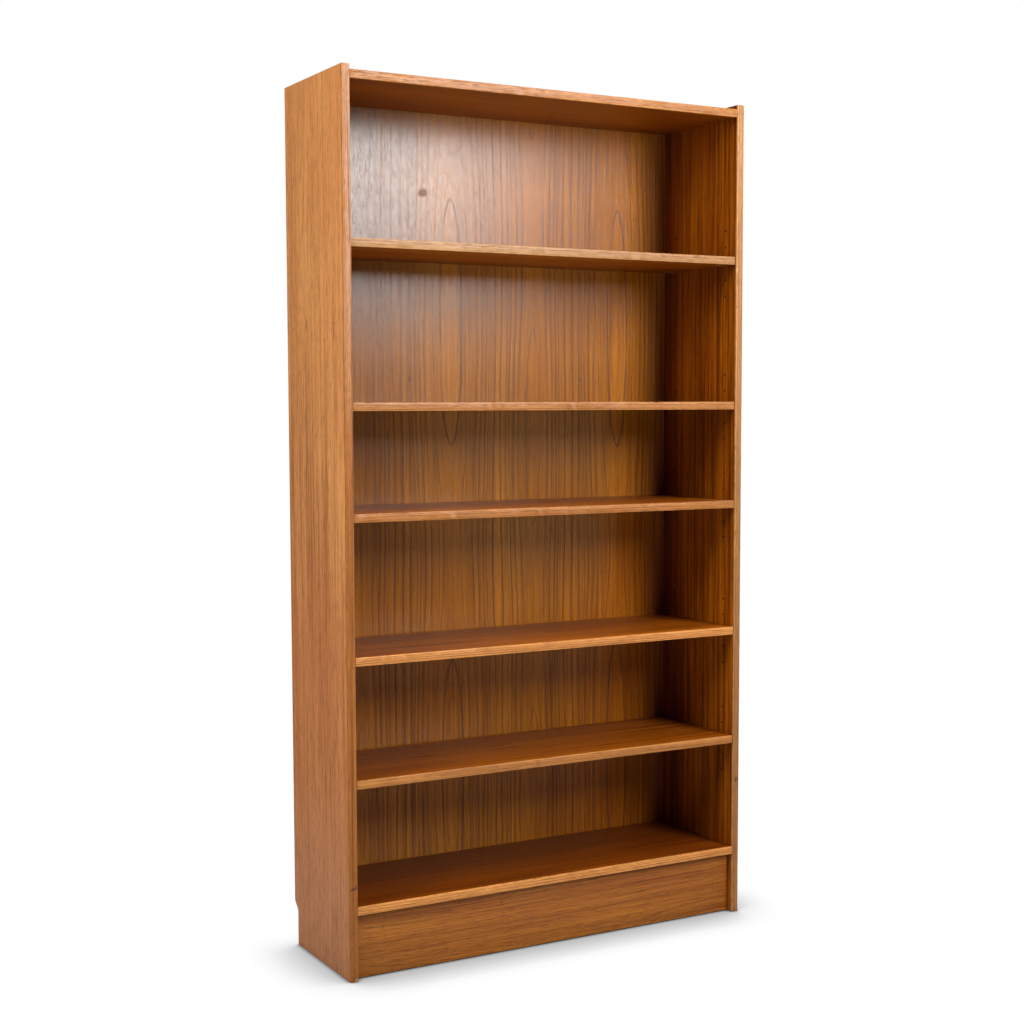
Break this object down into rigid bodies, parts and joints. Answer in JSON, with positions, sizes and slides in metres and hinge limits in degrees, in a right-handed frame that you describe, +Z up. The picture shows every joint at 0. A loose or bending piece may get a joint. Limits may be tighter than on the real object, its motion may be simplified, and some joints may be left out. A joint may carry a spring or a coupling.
{
  "type": "bookcase with adjustable shelves",
  "caption": "Tall open teak-veneered bookcase with a grooved back, recessed plinth and adjustable shelves on hidden steel pins.",
  "frame": {"origin": "on the floor, under the middle of the case's bounding box", "axes": "+X to the right seen from the front, +Y to the wall behind (front faces -Y), +Z up"},
  "size_m": [1, 0.306, 1.882],
  "materials": {
    "side_veneer": "oiled teak veneer with straight upright grain, satin",
    "shelf_veneer": "oiled teak veneer with grain along the shelf, satin",
    "back_veneer": "teak-faced plywood with upright cathedral grain, satin",
    "solid_teak": "solid teak strip with fine straight grain, oiled",
    "plinth_veneer": "teak veneer with grain along the plinth, satin",
    "steel": "plain zinc-bright steel",
    "beech": "plain beech, glued"
  },
  "bodies": {
    "case": {"left_side_panel": "side_veneer", "right_side_panel": "side_veneer", "left_side_lipping": "solid_teak", "right_side_lipping": "solid_teak", "top_panel": "shelf_veneer", "top_lipping": "solid_teak", "bottom_panel": "shelf_veneer", "bottom_lipping": "solid_teak", "plinth_board": "plinth_veneer", "back_panel": "back_veneer", "dowel_top_left_1": "beech", "dowel_top_left_2": "beech", "dowel_top_left_3": "beech", "dowel_top_right_1": "beech", "dowel_top_right_2": "beech", "dowel_top_right_3": "beech", "dowel_bottom_left_1": "beech", "dowel_bottom_left_2": "beech", "dowel_bottom_left_3": "beech", "dowel_bottom_right_1": "beech", "dowel_bottom_right_2": "beech", "dowel_bottom_right_3": "beech", "dowel_plinth_left_1": "beech", "dowel_plinth_left_2": "beech", "dowel_plinth_right_1": "beech", "dowel_plinth_right_2": "beech", "back_nail_1": "steel", "back_nail_2": "steel", "back_nail_3": "steel", "back_nail_4": "steel"},
    "shelf_1": {"shelf_1": "shelf_veneer", "shelf_1_lipping": "solid_teak"},
    "shelf_2": {"shelf_2": "shelf_veneer", "shelf_2_lipping": "solid_teak"},
    "shelf_3": {"shelf_3": "shelf_veneer", "shelf_3_lipping": "solid_teak"},
    "shelf_4": {"shelf_4": "shelf_veneer", "shelf_4_lipping": "solid_teak"},
    "shelf_5": {"shelf_5": "shelf_veneer", "shelf_5_lipping": "solid_teak"},
    "pin_1_left_front": {"pin_1_left_front": "steel"},
    "pin_1_left_rear": {"pin_1_left_rear": "steel"},
    "pin_1_right_front": {"pin_1_right_front": "steel"},
    "pin_1_right_rear": {"pin_1_right_rear": "steel"},
    "pin_2_left_front": {"pin_2_left_front": "steel"},
    "pin_2_left_rear": {"pin_2_left_rear": "steel"},
    "pin_2_right_front": {"pin_2_right_front": "steel"},
    "pin_2_right_rear": {"pin_2_right_rear": "steel"},
    "pin_3_left_front": {"pin_3_left_front": "steel"},
    "pin_3_left_rear": {"pin_3_left_rear": "steel"},
    "pin_3_right_front": {"pin_3_right_front": "steel"},
    "pin_3_right_rear": {"pin_3_right_rear": "steel"},
    "pin_4_left_front": {"pin_4_left_front": "steel"},
    "pin_4_left_rear": {"pin_4_left_rear": "steel"},
    "pin_4_right_front": {"pin_4_right_front": "steel"},
    "pin_4_right_rear": {"pin_4_right_rear": "steel"},
    "pin_5_left_front": {"pin_5_left_front": "steel"},
    "pin_5_left_rear": {"pin_5_left_rear": "steel"},
    "pin_5_right_front": {"pin_5_right_front": "steel"},
    "pin_5_right_rear": {"pin_5_right_rear": "steel"}
  },
  "joints": [
    {"name": "shelf_1_lift", "type": "slide", "parent": "case", "child": "shelf_1", "axis": [0, 0, 1], "range_m": [0, 0.085]},
    {"name": "shelf_2_lift", "type": "slide", "parent": "case", "child": "shelf_2", "axis": [0, 0, 1], "range_m": [0, 0.085]},
    {"name": "shelf_3_lift", "type": "slide", "parent": "case", "child": "shelf_3", "axis": [0, 0, 1], "range_m": [0, 0.085]},
    {"name": "shelf_4_lift", "type": "slide", "parent": "case", "child": "shelf_4", "axis": [0, 0, 1], "range_m": [0, 0.085]},
    {"name": "shelf_5_lift", "type": "slide", "parent": "case", "child": "shelf_5", "axis": [0, 0, 1], "range_m": [0, 0.085]},
    {"name": "pin_1_left_front_pull", "type": "slide", "parent": "case", "child": "pin_1_left_front", "axis": [1, 0, 0], "range_m": [0, 0.011]},
    {"name": "pin_1_left_rear_pull", "type": "slide", "parent": "case", "child": "pin_1_left_rear", "axis": [1, 0, 0], "range_m": [0, 0.011]},
    {"name": "pin_1_right_front_pull", "type": "slide", "parent": "case", "child": "pin_1_right_front", "axis": [-1, 0, 0], "range_m": [0, 0.011]},
    {"name": "pin_1_right_rear_pull", "type": "slide", "parent": "case", "child": "pin_1_right_rear", "axis": [-1, 0, 0], "range_m": [0, 0.011]},
    {"name": "pin_2_left_front_pull", "type": "slide", "parent": "case", "child": "pin_2_left_front", "axis": [1, 0, 0], "range_m": [0, 0.011]},
    {"name": "pin_2_left_rear_pull", "type": "slide", "parent": "case", "child": "pin_2_left_rear", "axis": [1, 0, 0], "range_m": [0, 0.011]},
    {"name": "pin_2_right_front_pull", "type": "slide", "parent": "case", "child": "pin_2_right_front", "axis": [-1, 0, 0], "range_m": [0, 0.011]},
    {"name": "pin_2_right_rear_pull", "type": "slide", "parent": "case", "child": "pin_2_right_rear", "axis": [-1, 0, 0], "range_m": [0, 0.011]},
    {"name": "pin_3_left_front_pull", "type": "slide", "parent": "case", "child": "pin_3_left_front", "axis": [1, 0, 0], "range_m": [0, 0.011]},
    {"name": "pin_3_left_rear_pull", "type": "slide", "parent": "case", "child": "pin_3_left_rear", "axis": [1, 0, 0], "range_m": [0, 0.011]},
    {"name": "pin_3_right_front_pull", "type": "slide", "parent": "case", "child": "pin_3_right_front", "axis": [-1, 0, 0], "range_m": [0, 0.011]},
    {"name": "pin_3_right_rear_pull", "type": "slide", "parent": "case", "child": "pin_3_right_rear", "axis": [-1, 0, 0], "range_m": [0, 0.011]},
    {"name": "pin_4_left_front_pull", "type": "slide", "parent": "case", "child": "pin_4_left_front", "axis": [1, 0, 0], "range_m": [0, 0.011]},
    {"name": "pin_4_left_rear_pull", "type": "slide", "parent": "case", "child": "pin_4_left_rear", "axis": [1, 0, 0], "range_m": [0, 0.011]},
    {"name": "pin_4_right_front_pull", "type": "slide", "parent": "case", "child": "pin_4_right_front", "axis": [-1, 0, 0], "range_m": [0, 0.011]},
    {"name": "pin_4_right_rear_pull", "type": "slide", "parent": "case", "child": "pin_4_right_rear", "axis": [-1, 0, 0], "range_m": [0, 0.011]},
    {"name": "pin_5_left_front_pull", "type": "slide", "parent": "case", "child": "pin_5_left_front", "axis": [1, 0, 0], "range_m": [0, 0.011]},
    {"name": "pin_5_left_rear_pull", "type": "slide", "parent": "case", "child": "pin_5_left_rear", "axis": [1, 0, 0], "range_m": [0, 0.011]},
    {"name": "pin_5_right_front_pull", "type": "slide", "parent": "case", "child": "pin_5_right_front", "axis": [-1, 0, 0], "range_m": [0, 0.011]},
    {"name": "pin_5_right_rear_pull", "type": "slide", "parent": "case", "child": "pin_5_right_rear", "axis": [-1, 0, 0], "range_m": [0, 0.011]}
  ]
}
